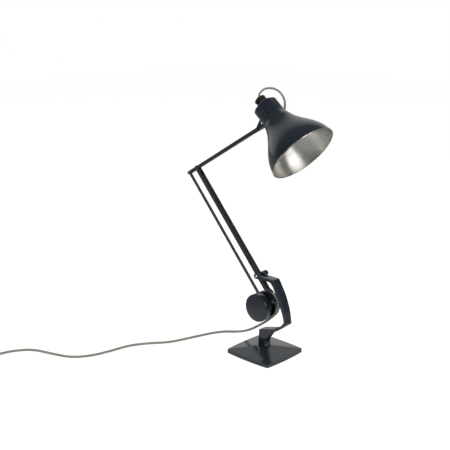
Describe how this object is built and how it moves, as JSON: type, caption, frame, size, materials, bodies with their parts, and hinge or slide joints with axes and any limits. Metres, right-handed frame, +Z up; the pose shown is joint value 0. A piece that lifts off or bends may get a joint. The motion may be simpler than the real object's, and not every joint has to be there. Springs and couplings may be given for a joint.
{
  "type": "counterpoise desk lamp",
  "caption": "Adjustable desk lamp with a square cast base, C-shaped bracket, square-tube swing arms, link bar, twin round counterweights and a bell shade on a boxed lampholder.",
  "frame": {"origin": "middle of the base's underside, on the table", "axes": "+Z up, arms move in the XZ plane, shade towards +X, elbow towards -X, hinges along Y"},
  "size_m": [0.6919, 0.6438, 0.6349],
  "materials": {
    "iron_enamel": "gloss enamel on a casting",
    "arm_enamel": "gloss enamel on steel tube",
    "shade_enamel": "gloss enamel outside and satin aluminium inside",
    "felt": "felt",
    "steel": "plain steel",
    "bright_steel": "bright plated",
    "link_steel": "dull dark steel",
    "brass": "plain",
    "bakelite": "moulded brown-black",
    "rubber": "matte",
    "opal_glass": "opal white",
    "flex": "braided grey-beige"
  },
  "bodies": {
    "base": {"base_casting": "iron_enamel", "base_felt": "felt", "swivel_washer": "steel"},
    "stem": {"stem_bracket": "iron_enamel", "swivel_stud": "steel", "swivel_nut": "steel", "pivot_bolt": "bright_steel", "pivot_washer_near": "iron_enamel", "pivot_washer_far": "steel", "mains_flex": "flex", "flex_coil": "flex", "plug_body": "bakelite", "plug_pins": "brass"},
    "knob": {"clamp_knob": "bakelite"},
    "lower_arm": {"lower_arm_tube": "arm_enamel", "pivot_sleeve": "steel", "lower_arm_tongue": "arm_enamel", "tongue_rivet": "steel", "elbow_pin": "bright_steel", "elbow_nut": "steel", "flex_gland": "rubber"},
    "upper_arm": {"upper_arm_tube": "arm_enamel", "elbow_bush": "brass", "link_top_pin": "steel", "tilt_screw": "bright_steel", "tilt_nut": "steel", "head_grommet": "rubber"},
    "link": {"link_bar": "link_steel"},
    "counterweight": {"crank_plate_near": "arm_enamel", "crank_plate_far": "arm_enamel", "weight_near": "iron_enamel", "weight_far": "iron_enamel", "weight_studs": "steel", "crank_pin": "steel", "link_bottom_pin": "steel"},
    "head": {"shade_bell": "shade_enamel", "neck_housing": "shade_enamel", "head_bracket": "arm_enamel", "bracket_rivets": "arm_enamel", "lampholder_body": "bakelite", "lampholder_ring": "bakelite", "lampholder_cap": "bakelite", "lampholder_contacts": "brass", "bulb_glass": "opal_glass", "bulb_cap": "brass", "head_flex": "flex"},
    "switch": {"switch_bar": "bakelite"}
  },
  "joints": [
    {"name": "stem_swivel", "type": "hinge", "parent": "base", "child": "stem", "pos_m": [0, 0, 0.021], "axis": [0, 0, 1], "range_deg": [-180, 180]},
    {"name": "clamp_knob_turn", "type": "hinge", "parent": "stem", "child": "knob", "pos_m": [-0.0203, 0, 0.193], "axis": [0, 1, 0], "range_deg": [-180, 180]},
    {"name": "lower_arm_pivot", "type": "hinge", "parent": "stem", "child": "lower_arm", "pos_m": [-0.0203, 0, 0.193], "axis": [0, 1, 0], "range_deg": [-12, 45], "deforming": ["mains_flex"]},
    {"name": "upper_arm_pivot", "type": "hinge", "parent": "lower_arm", "child": "upper_arm", "pos_m": [-0.22545, 0, 0.42407], "axis": [0, 1, 0], "range_deg": [-24, 38]},
    {"name": "counterweight_pivot", "type": "hinge", "parent": "lower_arm", "child": "counterweight", "pos_m": [0.02697, 0, 0.13976], "axis": [0, 1, 0], "range_deg": [-24.5, 38.5]},
    {"name": "link_top_pivot", "type": "hinge", "parent": "upper_arm", "child": "link", "pos_m": [-0.25334, 0, 0.40758], "axis": [0, 1, 0], "range_deg": [-38.5, 24.5]},
    {"name": "shade_tilt", "type": "hinge", "parent": "upper_arm", "child": "head", "pos_m": [-0.02981, 0, 0.53977], "axis": [0, 1, 0], "range_deg": [-35, 35], "deforming": ["head_flex"]},
    {"name": "switch_slide", "type": "slide", "parent": "head", "child": "switch", "axis": [0, 1, 0], "range_m": [0, 0.0045]}
  ],
  "couplings": [
    {"joint": "counterweight_pivot", "follows": "upper_arm_pivot", "ratio": 1},
    {"joint": "link_top_pivot", "follows": "upper_arm_pivot", "ratio": -1}
  ]
}
